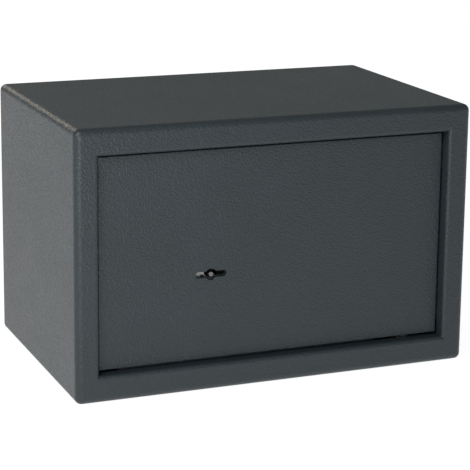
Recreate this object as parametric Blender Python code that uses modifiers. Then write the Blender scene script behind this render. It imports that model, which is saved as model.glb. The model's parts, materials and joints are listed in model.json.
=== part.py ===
"""A small key-locked steel safe, 310 x 200 x 200 mm, as the separate pieces it is made of.

Frame: +Z up, the front faces -Y, and the origin is at the centre of the underside.
The rest pose is closed and unlocked: the two round bolts are drawn back into the door.
Metres throughout.
"""

import math

import bmesh
import bpy
from mathutils import Matrix, Vector

# ---- Driving dimensions -------------------------------------------------------------
WIDTH = 0.310
DEPTH = 0.200
HEIGHT = 0.200
SHEET = 0.002            # body sheet
BEND = 0.005             # outer bend radius of the body's edges
FRAME_SIDE = 0.0175      # front frame, left and right
FRAME_TOP = 0.020        # front frame, top and bottom
LIP_DEPTH = 0.011        # inner return of the front frame
LIP_BEND = 0.0022        # bend radius of the return
REAR_FLANGE = 0.014
DOOR_THICK = 0.004
DOOR_RECESS = 0.008      # the door's face behind the front of the frame
DOOR_GAP = 0.0018        # all round the door
TOUCH = 0.0003           # gap kept between pieces that rest on each other
KEY_X = -0.050           # axis of the keyhole
KEY_Z = 0.0855
KEYHOLE_ARM = 0.012      # from the axis to the end of an arm
KEYHOLE_HALF = 0.0022    # half the height of an arm
KEYHOLE_ROUND = 0.0043   # radius of the keyhole's middle
BOLT_THROW = 0.014
BOLT_RADIUS = 0.008
BOLT_SPACING = 0.076
ANCHOR_X = 0.085         # fixing holes, left and right of the middle
ANCHOR_RADIUS = 0.006
LEVER_COUNT = 5
RUNNING_FIT = 0.0002     # between a pin and the hole that it turns in
PAST = 0.010             # how far a cutter runs past the faces that it cuts

# ---- Places worked out from them ------------------------------------------------------
FRONT = -DEPTH / 2
BACK = DEPTH / 2
OPEN_X = WIDTH / 2 - FRAME_SIDE          # the doorway runs from -OPEN_X to OPEN_X
OPEN_LOW = FRAME_TOP
OPEN_HIGH = HEIGHT - FRAME_TOP
LIP_END = FRONT + LIP_DEPTH
WELD_Y = FRONT + BEND + 0.001            # the front frame is welded to the walls, just past its bend
DOOR_FRONT = FRONT + DOOR_RECESS
DOOR_BACK = DOOR_FRONT + DOOR_THICK
DOOR_X = OPEN_X - DOOR_GAP
DOOR_LOW = OPEN_LOW + DOOR_GAP
DOOR_HIGH = OPEN_HIGH - DOOR_GAP
BEHIND_DOOR = DOOR_BACK + TOUCH          # where pieces fixed to the door's back begin
WALL_INSIDE = WIDTH / 2 - SHEET

HINGE_BAR_RADIUS = 0.004
HINGE_PIN_RADIUS = 0.0029
HINGE_X = DOOR_X - 0.024                 # far enough in for the door's edge to swing past the lip
HINGE_Y = BEHIND_DOOR + HINGE_BAR_RADIUS

BOLT_Y = DOOR_BACK + 0.011
BOLT_END = -DOOR_X + 0.0012              # the bolts' ends when drawn back
BOLT_LENGTH = 0.0367
CARRIAGE_THICK = 0.003
CARRIAGE_X = BOLT_END + BOLT_LENGTH + TOUCH

CASE_LOW = Vector((KEY_X - 0.031, BEHIND_DOOR, KEY_Z - 0.0185))
CASE_HIGH = Vector((KEY_X + 0.031, DOOR_BACK + 0.021, KEY_Z + 0.0455))
CASE_WALL = 0.0016
CASE_BASE = BEHIND_DOOR + CASE_WALL      # inner face of the case's base
COVER_FRONT = CASE_HIGH.y + TOUCH
COVER_BACK = COVER_FRONT + 0.0017
LEVER_THICK = 0.0020
LEVER_PITCH = 0.0023
LEVER_START = CASE_BASE + 0.0008
LEVERS_END = LEVER_START + LEVER_PITCH * LEVER_COUNT
LOCK_BOLT_FRONT = LEVERS_END + 0.0001
LOCK_BOLT_BACK = LOCK_BOLT_FRONT + 0.0035
CAM_FRONT = LOCK_BOLT_BACK + 0.0004
CAM_BACK = CAM_FRONT + 0.0018
DRIVE_RADIUS = BOLT_THROW / 2            # half a turn moves the bolts their full throw
LEVER_PIVOT = (KEY_X + 0.021, KEY_Z + 0.0335)
STUMP = (KEY_X - 0.009, KEY_Z + 0.0215)
GUIDE_POST = (KEY_X - 0.001, KEY_Z + 0.014)
POST_RADIUS = 0.0025
SPINDLE_RADIUS = 0.0030
SCREW_RADIUS = 0.0013                    # the two cover screws
SCREW_HOLE_RADIUS = 0.0017
STUD_RADIUS = 0.0023
STUD_HOLE_RADIUS = 0.0028
KEY_PIN_RADIUS = 0.0017
STUD_PLACES = [(KEY_X + x, KEY_Z + z) for z in (-0.0135, 0.0405) for x in (-0.026, 0.026)]

FINISHES = {
    "textured_paint": ((0.055, 0.061, 0.065), 0.45, 0.0),
    "zinc_plate": ((0.62, 0.62, 0.60), 0.35, 1.0),
    "bright_steel": ((0.55, 0.55, 0.56), 0.25, 1.0),
    "brass": ((0.72, 0.53, 0.25), 0.30, 1.0),
    "spring_steel": ((0.30, 0.31, 0.34), 0.35, 1.0),
    "nylon": ((0.75, 0.74, 0.70), 0.50, 0.0),
    "felt": ((0.035, 0.035, 0.038), 0.95, 0.0),
}


# ---- Small tools -----------------------------------------------------------------------
def clear_scene():
    """Removes whatever the file opened with."""
    for obj in list(bpy.data.objects):
        bpy.data.objects.remove(obj, do_unlink=True)


def new_collection(name):
    made = bpy.data.collections.new(name)
    bpy.context.scene.collection.children.link(made)
    return made


def finish_material(name):
    """The Principled BSDF of one of the finishes, made once."""
    found = bpy.data.materials.get(name)
    if found:
        return found
    colour, roughness, metallic = FINISHES[name]
    made = bpy.data.materials.new(name)
    made.use_nodes = True
    shader = made.node_tree.nodes["Principled BSDF"]
    shader.inputs["Base Color"].default_value = (*colour, 1.0)
    shader.inputs["Roughness"].default_value = roughness
    shader.inputs["Metallic"].default_value = metallic
    return made


def object_from(bm, name, finish, place=(0, 0, 0)):
    """A bmesh as a named object at its place: a part if it has a finish, else a cutter."""
    mesh = bpy.data.meshes.new(name)
    bm.to_mesh(mesh)
    bm.free()
    obj = bpy.data.objects.new(name, mesh)
    obj.location = place
    if finish is None:
        CUTTERS.objects.link(obj)
        obj.hide_render = True
        obj.display_type = "WIRE"
    else:
        PARTS.objects.link(obj)
        mesh.materials.append(finish_material(finish))
    return obj


def block(name, low, high, finish=None):
    """A box between two corners, with its origin at its middle."""
    low, high = Vector(low), Vector(high)
    bm = bmesh.new()
    bmesh.ops.create_cube(bm, size=1.0, matrix=Matrix.Diagonal((*(high - low), 1.0)))
    return object_from(bm, name, finish, (low + high) / 2)


def rod(name, radius, start, end, finish=None, sides=24):
    """A cylinder from one point to another along X, Y or Z."""
    start, end = Vector(start), Vector(end)
    turn = Vector((0, 0, 1)).rotation_difference(end - start).to_matrix().to_4x4()
    bm = bmesh.new()
    bmesh.ops.create_cone(
        bm, cap_ends=True, segments=sides, radius1=radius, radius2=radius,
        depth=(end - start).length, matrix=turn,
    )
    obj = object_from(bm, name, finish, (start + end) / 2)
    obj.data.shade_smooth()
    obj.data.set_sharp_from_angle(angle=math.radians(40))
    return obj


def rod_y(name, radius, x, z, front, back, finish=None, sides=24):
    """A cylinder that runs front to back."""
    return rod(name, radius, (x, front, z), (x, back, z), finish, sides)


def plate(name, outline, front, thickness, finish):
    """A flat outline of (x, z) points, extruded front to back and made a mesh."""
    curve = bpy.data.curves.new(name, "CURVE")
    curve.dimensions = "2D"
    curve.fill_mode = "BOTH"
    curve.extrude = thickness / 2
    spline = curve.splines.new("POLY")
    spline.points.add(len(outline) - 1)
    for point, (x, z) in zip(spline.points, outline):
        point.co = (x, z, 0, 1)
    spline.use_cyclic_u = True
    drawn = bpy.data.objects.new(name + "_outline", curve)
    drawn.rotation_euler.x = math.radians(90)
    drawn.location.y = front + thickness / 2
    PARTS.objects.link(drawn)
    bpy.context.view_layer.update()
    graph = bpy.context.evaluated_depsgraph_get()
    bm = bmesh.new()
    bm.from_mesh(bpy.data.meshes.new_from_object(drawn.evaluated_get(graph)))
    bmesh.ops.remove_doubles(bm, verts=bm.verts, dist=1e-6)
    obj = object_from(bm, name, finish)
    obj.matrix_world = drawn.matrix_world.copy()
    bpy.data.objects.remove(drawn)
    return obj


def boolean(target, other, operation="DIFFERENCE"):
    """Cuts other from target, or joins it on; other becomes a hidden helper."""
    if other.name not in CUTTERS.objects:
        for owner in list(other.users_collection):
            owner.objects.unlink(other)
        CUTTERS.objects.link(other)
    other.hide_render = True
    other.display_type = "WIRE"
    modifier = target.modifiers.new(other.name, "BOOLEAN")
    modifier.object = other
    modifier.operation = operation
    return target


def bevel(obj, width, segments=2, angle=30):
    modifier = obj.modifiers.new("Bevel", "BEVEL")
    modifier.width = width
    modifier.segments = segments
    modifier.limit_method = "ANGLE"
    modifier.angle_limit = math.radians(angle)
    modifier.use_clamp_overlap = True
    return obj


def thicken(obj, thickness):
    """Gives an open surface its sheet thickness, on the side its faces point away from."""
    modifier = obj.modifiers.new("Sheet", "SOLIDIFY")
    modifier.thickness = thickness
    modifier.offset = -1
    modifier.use_even_offset = True
    return obj


def folded_sheet(name, profile, run, thickness, finish, outside):
    """A folded line of points carried along run and thickened away from its outside."""
    bm = bmesh.new()
    verts = [bm.verts.new(point) for point in profile]
    edges = [bm.edges.new(pair) for pair in zip(verts, verts[1:])]
    sweep = bmesh.ops.extrude_edge_only(bm, edges=edges)
    moved = [v for v in sweep["geom"] if isinstance(v, bmesh.types.BMVert)]
    bmesh.ops.translate(bm, verts=moved, vec=run)
    bmesh.ops.recalc_face_normals(bm, faces=bm.faces)
    facing = max(bm.faces, key=lambda face: abs(face.normal.dot(Vector(outside))))
    if facing.normal.dot(Vector(outside)) < 0:
        bmesh.ops.reverse_faces(bm, faces=bm.faces)
    return thicken(object_from(bm, name, finish), thickness)


def axis_empty(name, place):
    """An empty on a joint's axis, which its moving pieces are parented to."""
    empty = bpy.data.objects.new(name, None)
    empty.location = place
    PARTS.objects.link(empty)
    bpy.context.view_layer.update()
    return empty


def carry(empty, pieces):
    """Parents the pieces to an axis without moving them."""
    for piece in pieces:
        piece.parent = empty
        piece.matrix_parent_inverse = empty.matrix_world.inverted()


# ---- The body ---------------------------------------------------------------------------
def folded_body():
    """The body's outer surface, open at the doorway and at the rear: walls, frame, return and flange."""
    bm = bmesh.new()
    size = Matrix.Diagonal((WIDTH, DEPTH, HEIGHT, 1.0))
    bmesh.ops.create_cube(bm, size=1.0, matrix=Matrix.Translation((0, 0, HEIGHT / 2)) @ size)
    corner_edges = list(bm.edges)
    front = next(f for f in bm.faces if f.normal.y < -0.9)
    back = next(f for f in bm.faces if f.normal.y > 0.9)

    bmesh.ops.inset_region(bm, faces=[back], thickness=REAR_FLANGE, use_even_offset=True)
    bmesh.ops.delete(bm, geom=[back], context="FACES_ONLY")
    bmesh.ops.inset_region(bm, faces=[front], thickness=FRAME_SIDE, use_even_offset=True)
    for vert in front.verts:
        vert.co.z = OPEN_HIGH if vert.co.z > HEIGHT / 2 else OPEN_LOW
    lip_edges = list(front.edges)
    grown = bmesh.ops.extrude_face_region(bm, geom=[front])["geom"]
    inner_face = [f for f in grown if isinstance(f, bmesh.types.BMFace)]
    inner_verts = [v for v in grown if isinstance(v, bmesh.types.BMVert)]
    bmesh.ops.translate(bm, verts=inner_verts, vec=(0, LIP_DEPTH, 0))
    bmesh.ops.delete(bm, geom=inner_face + [f for f in [front] if f.is_valid], context="FACES_ONLY")

    at_front = [e for e in lip_edges if e.is_valid]
    bmesh.ops.bevel(bm, geom=at_front, offset=LIP_BEND, segments=3, profile=0.5, affect="EDGES")
    outer = [e for e in corner_edges if e.is_valid]
    bmesh.ops.bevel(bm, geom=outer, offset=BEND, segments=4, profile=0.5, affect="EDGES")
    bmesh.ops.recalc_face_normals(bm, faces=bm.faces)
    return bm


def behind_weld(face):
    """Whether a face of the folded body belongs to the walls, and not to the frame or its return."""
    middle = face.calc_center_median()
    in_doorway = abs(middle.x) < OPEN_X + TOUCH and OPEN_LOW - TOUCH < middle.z < OPEN_HIGH + TOUCH
    return middle.y > WELD_Y and not in_doorway


def body_half(name, keep):
    """The folded body cut along the weld line, with only the faces that keep chooses."""
    bm = folded_body()
    for cut in (WELD_Y, WELD_Y + TOUCH):
        bmesh.ops.bisect_plane(bm, geom=[*bm.verts, *bm.edges, *bm.faces], dist=1e-6,
                               plane_co=(0, cut, 0), plane_no=(0, 1, 0))
    in_gap = [f for f in bm.faces if behind_weld(f) and f.calc_center_median().y < WELD_Y + TOUCH]
    dropped = [f for f in bm.faces if f in in_gap or not keep(f)]
    bmesh.ops.delete(bm, geom=dropped, context="FACES")
    return thicken(object_from(bm, name, "textured_paint"), SHEET)


def body_shell():
    """The folded walls and rear flange, with two floor-fixing holes."""
    shell = body_half("body_shell", behind_weld)
    for side in (-1, 1):
        x = side * ANCHOR_X
        boolean(shell, rod(f"cut_base_hole_{side}", ANCHOR_RADIUS, (x, 0, -PAST), (x, 0, PAST)))
    return shell


def front_frame():
    """The pressed front frame: its outer bend, its face and the return round the doorway."""
    return body_half("front_frame", lambda face: not behind_weld(face))


def back_panel():
    """The flat rear sheet, welded inside the rear flange, with two wall-fixing holes."""
    edge = BEND + 0.0005          # clear of the body's bends
    face = BACK - SHEET - TOUCH
    panel = block(
        "back_panel", (-WIDTH / 2 + edge, face - SHEET, edge),
        (WIDTH / 2 - edge, face, HEIGHT - edge), "textured_paint",
    )
    for side in (-1, 1):
        boolean(panel, rod_y(f"cut_wall_hole_{side}", ANCHOR_RADIUS, side * ANCHOR_X,
                             HEIGHT / 2, face - PAST, face + PAST))
    return panel


def strike_bar():
    """The bar behind the left frame that the thrown bolts bear on."""
    thick = 0.003
    low, high = 0.025, 0.175
    front = LIP_END + TOUCH
    bar = block("strike_bar", (-WALL_INSIDE + 0.0015, front, low), (-OPEN_X - TOUCH, front + thick, high),
                "textured_paint")
    return bevel(bar, 0.0004, 1)


def door_stops():
    """Two angles that the door closes against, welded to the roof and the floor."""
    face = BEHIND_DOOR
    leg = 0.0125                  # back along the roof or the floor
    reach = 0.007                 # into the doorway
    start, run = -0.120, (0.205, 0, 0)
    stops = []
    for name, edge, wall in (("door_stop_top", OPEN_HIGH - reach, HEIGHT - SHEET - TOUCH),
                             ("door_stop_bottom", OPEN_LOW + reach, SHEET + TOUCH)):
        profile = [(start, face, edge), (start, face, wall), (start, face + leg, wall)]
        stops.append(folded_sheet(name, profile, run, SHEET, "textured_paint", (0, -1, 0)))
    return stops


def hinge_bearings():
    """A drilled plate behind the frame at the top and at the bottom, which holds a hinge pin."""
    thick = 0.004
    half = 0.015
    behind_pin = 0.008
    plates = []
    for name, low in (("hinge_bearing_top", OPEN_HIGH + SHEET + TOUCH),
                      ("hinge_bearing_bottom", OPEN_LOW - SHEET - TOUCH - thick)):
        bearing = block(name, (HINGE_X - half, FRONT + SHEET + TOUCH, low),
                        (HINGE_X + half, HINGE_Y + behind_pin, low + thick), "zinc_plate")
        bevel(bearing, 0.0006, 1)
        hole = rod("cut_" + name, HINGE_PIN_RADIUS + RUNNING_FIT,
                   (HINGE_X, HINGE_Y, low - PAST), (HINGE_X, HINGE_Y, low + PAST), sides=32)
        plates.append(boolean(bearing, hole))
    return plates


WASHER_RADIUS = 0.0046
WASHER_LOW = OPEN_LOW - SHEET - 0.0001
WASHER_THICK = 0.0008


def hinge_washer():
    """The nylon washer that carries the door's weight on the lower bearing."""
    ring = rod("hinge_washer", WASHER_RADIUS, (HINGE_X, HINGE_Y, WASHER_LOW),
               (HINGE_X, HINGE_Y, WASHER_LOW + WASHER_THICK), "nylon")
    hole = rod("cut_washer", HINGE_PIN_RADIUS + RUNNING_FIT, (HINGE_X, HINGE_Y, WASHER_LOW - PAST),
               (HINGE_X, HINGE_Y, WASHER_LOW + PAST))
    return boolean(ring, hole)


def floor_mat():
    """The loose felt mat, with holes over the two floor-fixing holes."""
    low = SHEET + TOUCH
    thick = 0.002
    half = 0.148
    front, back = BEHIND_DOOR + 0.013, BACK - 0.006
    mat = block("floor_mat", (-half, front, low), (half, back, low + thick), "felt")
    for side in (-1, 1):
        x = side * ANCHOR_X
        boolean(mat, rod(f"cut_mat_hole_{side}", ANCHOR_RADIUS + 0.002, (x, 0, -PAST), (x, 0, 2 * PAST)))
    return mat


# ---- The door ----------------------------------------------------------------------------
def keyhole_cutter(name, front, back, sides):
    """A round middle with a round-ended arm to each of the sides (-1 is left, 1 is right)."""
    middle = rod_y(name, KEYHOLE_ROUND, KEY_X, KEY_Z, front, back, sides=28)
    for side in sides:
        end = KEY_X + side * (KEYHOLE_ARM - KEYHOLE_HALF)
        low, high = min(KEY_X, end), max(KEY_X, end)
        label = "right" if side > 0 else "left"
        arm = block(f"{name}_{label}", (low, front, KEY_Z - KEYHOLE_HALF),
                    (high, back, KEY_Z + KEYHOLE_HALF))
        boolean(arm, rod_y(f"{name}_{label}_end", KEYHOLE_HALF - 1e-6, end, KEY_Z, front, back), "UNION")
        boolean(middle, arm, "UNION")
    return middle


def door_plate():
    """The flat steel door with its keyhole."""
    door = block("door_plate", (-DOOR_X, DOOR_FRONT, DOOR_LOW), (DOOR_X, DOOR_BACK, DOOR_HIGH),
                 "textured_paint")
    bevel(door, 0.0007, 2)
    keyhole = keyhole_cutter("cut_door_keyhole", DOOR_FRONT - PAST / 2, DOOR_BACK + PAST / 2, (-1, 1))
    return boolean(door, keyhole)


BAR_LOW = WASHER_LOW + WASHER_THICK + TOUCH
BAR_HIGH = OPEN_HIGH + 0.001
PIN_SEAT = 0.016                         # how deep the bar is drilled for each pin


def hinge_bar():
    """The round bar welded to the door's back, drilled at both ends for the pins."""
    seat_radius = HINGE_PIN_RADIUS + 0.00012
    bar = rod("hinge_bar", HINGE_BAR_RADIUS, (HINGE_X, HINGE_Y, BAR_LOW), (HINGE_X, HINGE_Y, BAR_HIGH),
              "zinc_plate", sides=28)
    for name, low, high in (("cut_bar_foot", BAR_LOW - PAST, BAR_LOW + PIN_SEAT),
                            ("cut_bar_head", BAR_HIGH - PIN_SEAT, BAR_HIGH + PAST)):
        boolean(bar, rod(name, seat_radius, (HINGE_X, HINGE_Y, low), (HINGE_X, HINGE_Y, high), sides=28))
    return bar


def hinge_pins():
    """The two pins that are driven into the bar's ends and turn in the bearings."""
    seat = PIN_SEAT - TOUCH
    low = OPEN_LOW - SHEET - 0.0040
    high = OPEN_HIGH + SHEET + 0.0045
    pins = [
        rod("hinge_pin_bottom", HINGE_PIN_RADIUS, (HINGE_X, HINGE_Y, low),
            (HINGE_X, HINGE_Y, BAR_LOW + seat), "bright_steel"),
        rod("hinge_pin_top", HINGE_PIN_RADIUS, (HINGE_X, HINGE_Y, BAR_HIGH - seat),
            (HINGE_X, HINGE_Y, high), "bright_steel"),
    ]
    return [bevel(pin, 0.0005, 1) for pin in pins]


def hinge_side_rail():
    """The fixed bar that hooks behind the frame on the hinge side."""
    thick = 0.003
    low, high = 0.030, 0.170
    rail = block("hinge_side_rail", (HINGE_X + 0.008, BEHIND_DOOR, low),
                 (OPEN_X + 0.006, BEHIND_DOOR + thick, high), "zinc_plate")
    return bevel(rail, 0.0005, 1)


def bolt_places():
    """The round bolts' names and heights, one above the key's axis and one below."""
    return [("upper", KEY_Z + BOLT_SPACING / 2), ("lower", KEY_Z - BOLT_SPACING / 2)]


def bolt_guide():
    """The angle behind the door's left edge that the two bolts run through."""
    outer = -DOOR_X + 0.0042
    thick = 0.0025
    half = 0.0545
    upright_leg, door_leg = 0.022, 0.026
    low = KEY_Z - half
    profile = [(outer, BEHIND_DOOR + upright_leg, low), (outer, BEHIND_DOOR, low),
               (outer + door_leg, BEHIND_DOOR, low)]
    guide = folded_sheet("bolt_guide", profile, (0, 0, 2 * half), thick, "zinc_plate", (-1, 0, 0))
    for name, z in bolt_places():
        boolean(guide, rod(f"cut_guide_{name}", BOLT_RADIUS + TOUCH, (outer - PAST, BOLT_Y, z),
                           (outer + PAST, BOLT_Y, z), sides=32))
    return guide


# ---- The lock ----------------------------------------------------------------------------
def lock_case():
    """The pressed tray that holds the lock: keyhole and locating notch in its base, tail slot beside."""
    bm = bmesh.new()
    size = CASE_HIGH - CASE_LOW
    bmesh.ops.create_cube(bm, size=1.0, matrix=Matrix.Diagonal((*size, 1.0)))
    rear = [f for f in bm.faces if f.normal.y > 0.9]
    bmesh.ops.delete(bm, geom=rear, context="FACES_ONLY")
    upright = [e for e in bm.edges if abs(e.verts[0].co.y - e.verts[1].co.y) > size.y / 2]
    bmesh.ops.bevel(bm, geom=upright, offset=0.003, segments=3, profile=0.5, affect="EDGES")
    case = thicken(object_from(bm, "lock_case", "zinc_plate", (CASE_LOW + CASE_HIGH) / 2), CASE_WALL)
    front = BEHIND_DOOR - 0.004
    back = CASE_BASE + 0.0006
    boolean(case, keyhole_cutter("cut_case_keyhole", front, back, (1,)))
    boolean(case, block("cut_locating_notch", (KEY_X - 0.0070, front, KEY_Z - 0.0036),
                        (KEY_X - 0.0038, back, KEY_Z - 0.0015)))
    boolean(case, block("cut_tail_slot", (CASE_LOW.x - 0.004, LOCK_BOLT_FRONT - 0.0004, KEY_Z - 0.0064),
                        (CASE_LOW.x + 0.004, LOCK_BOLT_BACK + 0.0004, KEY_Z + 0.0064)))
    for n, (x, z) in enumerate(STUD_PLACES, 1):
        boolean(case, rod_y(f"cut_case_stud_{n}", STUD_HOLE_RADIUS, x, z, front, back))
    return case


def lock_cover():
    """The flat rear plate of the lock: holes for studs, screws and the barrel's spindle."""
    cover = block("lock_cover", (CASE_LOW.x + TOUCH, COVER_FRONT, CASE_LOW.z + TOUCH),
                  (CASE_HIGH.x - TOUCH, COVER_BACK, CASE_HIGH.z - TOUCH), "zinc_plate")
    holes = [(f"stud_{n}", x, z, STUD_HOLE_RADIUS) for n, (x, z) in enumerate(STUD_PLACES, 1)]
    holes += [("lever_screw", *LEVER_PIVOT, SCREW_HOLE_RADIUS),
              ("guide_screw", *GUIDE_POST, SCREW_HOLE_RADIUS),
              ("spindle", KEY_X, KEY_Z, SPINDLE_RADIUS + TOUCH)]
    for name, x, z, radius in holes:
        boolean(cover, rod_y("cut_cover_" + name, radius, x, z, COVER_FRONT - PAST, COVER_BACK + PAST))
    return cover


def posts_and_screws():
    """The lever pivot post and the bolt's guide post, each closed by a slotted cover screw."""
    head_radius, head_thick = 0.0034, 0.0016
    slot_half, slot_depth = 0.0004, 0.0006
    head_low = COVER_BACK + TOUCH
    thread_end = COVER_FRONT - 0.0058
    pieces = []
    for name, (x, z), front in (("lever_post", LEVER_PIVOT, CASE_BASE + TOUCH),
                                ("bolt_guide_post", GUIDE_POST, LOCK_BOLT_FRONT - 0.0001)):
        post = rod_y(name, POST_RADIUS, x, z, front, COVER_FRONT - TOUCH, "bright_steel")
        boolean(post, rod_y("cut_" + name, SCREW_RADIUS + RUNNING_FIT, x, z, thread_end - 0.0004,
                            COVER_FRONT + PAST, sides=16))
        head = rod_y("cover_screw_" + name.split("_")[0], head_radius, x, z, head_low, head_low + head_thick,
                     "zinc_plate", sides=20)
        shank = rod_y("shank_of_" + head.name, SCREW_RADIUS, x, z, thread_end, head_low + head_thick / 2,
                      sides=12)
        boolean(head, shank, "UNION")
        slot_low = (x - 2 * head_radius, head_low + head_thick - slot_depth, z - slot_half)
        slot_high = (x + 2 * head_radius, head_low + PAST, z + slot_half)
        boolean(head, block("cut_slot_of_" + head.name, slot_low, slot_high))
        pieces += [post, head]
    return pieces


def lever_outline(belly):
    """One lever's outline around the key axis: a belly arc of the given radius, then the arm."""
    arc = [(belly * math.sin(a), belly * math.cos(a))
           for a in (math.radians(-40 + 80 * i / 8) for i in range(9))]
    eye = [(0.021 + 0.006 * math.cos(a), 0.0335 + 0.006 * math.sin(a))
           for a in (math.radians(-50 + 170 * i / 7) for i in range(8))]
    left = [(-0.020, 0.0340), (-0.0285, 0.0310), (-0.0285, 0.0160), (-0.0110, 0.0150)]
    points = arc + [(0.0095, 0.0120), (0.0160, 0.0260)] + eye + left
    return [(KEY_X + x, KEY_Z + z) for x, z in points]


def levers():
    """Five brass levers on one post. Each has two pockets and a gate for the bolt's stump."""
    half_gate = 0.0024
    left_of_stump, right_of_stump = 0.0036, 0.0026
    pocket_rise = 0.0062
    stump_x, stump_z = STUMP
    made = []
    for n in range(LEVER_COUNT):
        front = LEVER_START + n * LEVER_PITCH
        back = front + LEVER_THICK
        before, behind = front - 0.001, back + 0.001
        belly = 0.0112 + 0.0003 * ((n * 3) % LEVER_COUNT)
        lever = plate(f"lever_{n + 1}", lever_outline(belly), front, LEVER_THICK, "brass")
        boolean(lever, block(f"cut_gate_{n + 1}",
                             (stump_x - BOLT_THROW - left_of_stump, before, stump_z - half_gate),
                             (stump_x + 0.0030, behind, stump_z + half_gate)))
        for label, centre in (("thrown", stump_x - BOLT_THROW), ("drawn", stump_x)):
            boolean(lever, block(f"cut_pocket_{label}_{n + 1}", (centre - left_of_stump, before, stump_z),
                                 (centre + right_of_stump, behind, stump_z + pocket_rise)))
        boolean(lever, rod_y(f"cut_eye_{n + 1}", POST_RADIUS + RUNNING_FIT, *LEVER_PIVOT, before, behind))
        made.append(lever)
    return made


def lever_spring():
    """One steel comb over the levers, with a finger for each."""
    root = Vector((KEY_X + 0.010, KEY_Z + 0.0432))
    bend = Vector((KEY_X + 0.003, KEY_Z + 0.0432))
    tip = Vector((KEY_X - 0.014, KEY_Z + 0.0352))
    profile = [(p.x, LEVER_START, p.y) for p in (root, bend, tip)]
    run = (0, LEVER_PITCH * LEVER_COUNT - 0.0003, 0)
    strip = 0.0004
    half_gap = 0.00025
    spring = folded_sheet("lever_spring", profile, run, strip, "spring_steel", (0, 0, -1))
    for n in range(1, LEVER_COUNT):
        gap = LEVER_START + n * LEVER_PITCH - (LEVER_PITCH - LEVER_THICK) / 2
        boolean(spring, block(f"cut_comb_{n}", (tip.x - PAST, gap - half_gap, tip.y - PAST),
                              (bend.x - 0.001, gap + half_gap, bend.y + PAST)))
    return spring


def studs_and_nuts():
    """Four studs welded to the door's back hold the lock with four hexagon nuts."""
    nut_radius, nut_thick = 0.0046, 0.0038
    nut_front = COVER_BACK + TOUCH
    pieces = []
    for n, (x, z) in enumerate(STUD_PLACES, 1):
        stud = rod_y(f"lock_stud_{n}", STUD_RADIUS, x, z, BEHIND_DOOR, COVER_BACK + 0.0052, "zinc_plate",
                     sides=16)
        nut = rod_y(f"lock_nut_{n}", nut_radius, x, z, nut_front, nut_front + nut_thick, "zinc_plate",
                    sides=6)
        boolean(nut, rod_y(f"cut_nut_{n}", STUD_RADIUS + RUNNING_FIT, x, z, nut_front - PAST,
                           nut_front + PAST, sides=16))
        pieces += [bevel(stud, 0.0004, 1), nut]
    return pieces


def key_barrel():
    """The slotted barrel that the key turns: a pin for the key's hollow stem, and a spindle behind."""
    radius, bore_radius = 0.0063, 0.0034
    front = CASE_BASE + TOUCH
    shoulder = LOCK_BOLT_FRONT - 0.0002
    floor = shoulder - 0.0010
    barrel = rod_y("key_barrel", radius, KEY_X, KEY_Z, front, shoulder, "bright_steel", sides=32)
    boolean(barrel, rod_y("spindle_of_barrel", SPINDLE_RADIUS, KEY_X, KEY_Z, shoulder - 0.002,
                          COVER_BACK + 0.0030), "UNION")
    boolean(barrel, rod_y("cut_barrel_bore", bore_radius, KEY_X, KEY_Z, front - PAST, floor))
    boolean(barrel, block("cut_barrel_slot", (KEY_X, front - PAST, KEY_Z - KEYHOLE_HALF),
                          (KEY_X + 0.010, floor, KEY_Z + KEYHOLE_HALF)))
    pin = rod_y("pin_of_barrel", KEY_PIN_RADIUS, KEY_X, KEY_Z, DOOR_FRONT + 0.0004, floor + 0.0004, sides=20)
    return boolean(barrel, pin, "UNION")


def drive_cam():
    """The disc on the spindle whose finger pushes the lock's bolt."""
    cam = rod_y("drive_cam", 0.0098, KEY_X, KEY_Z, CAM_FRONT, CAM_BACK, "zinc_plate", sides=32)
    finger = rod_y("finger_of_cam", 0.0022, KEY_X + DRIVE_RADIUS, KEY_Z, LOCK_BOLT_FRONT + TOUCH,
                   CAM_FRONT + 0.001, sides=20)
    boolean(cam, finger, "UNION")
    return boolean(cam, rod_y("cut_cam_bore", SPINDLE_RADIUS + RUNNING_FIT, KEY_X, KEY_Z, CAM_FRONT - PAST,
                              CAM_BACK + PAST))


def barrel_clip():
    """The clip that keeps the spindle in the cover."""
    radius, thick, half_mouth = 0.0052, 0.0008, 0.0016
    front = COVER_BACK + TOUCH
    clip = rod_y("barrel_clip", radius, KEY_X, KEY_Z, front, front + thick, "spring_steel")
    boolean(clip, rod_y("cut_clip_bore", SPINDLE_RADIUS + RUNNING_FIT, KEY_X, KEY_Z, front - PAST,
                        front + PAST))
    return boolean(clip, block("cut_clip_mouth", (KEY_X - half_mouth, front - PAST, KEY_Z - PAST),
                               (KEY_X + half_mouth, front + PAST, KEY_Z)))


# ---- The bolt work ------------------------------------------------------------------------
STUMP_SHANK = 0.0016                     # radius of the stump's riveted shank


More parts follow.
